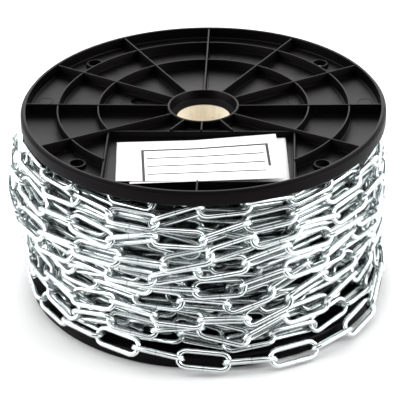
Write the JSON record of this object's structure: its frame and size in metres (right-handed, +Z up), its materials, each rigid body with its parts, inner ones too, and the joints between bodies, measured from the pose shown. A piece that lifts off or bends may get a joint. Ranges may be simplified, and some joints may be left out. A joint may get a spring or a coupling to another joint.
{
  "type": "reel of long-link steel chain",
  "caption": "Full reel of zinc-plated long-link steel chain, wound on a cardboard tube between two ribbed black plastic flanges, for storing and paying out chain.",
  "frame": {"origin": "on the reel's axis, on the floor under the lower flange", "axes": "+Z up along the reel's axis; -Y towards the side of the upper flange that holds the label sheets"},
  "size_m": [0.231, 0.2314, 0.1133],
  "materials": {
    "black_plastic": "black moulded plastic, slightly glossy on the rib tops and the rim",
    "zinc_steel": "bright zinc-plated steel wire, cool silver",
    "cardboard": "tan spiral-wound cardboard, matte",
    "paper": "plain white paper, matte"
  },
  "bodies": {
    "root": {"top_flange": "black_plastic", "bottom_flange": "black_plastic", "core_tube": "cardboard", "chain_outer_turns": "zinc_steel", "chain_inner_turns": "zinc_steel", "label_back_sheet": "paper", "label_front_sheet": "paper"}
  },
  "joints": []
}
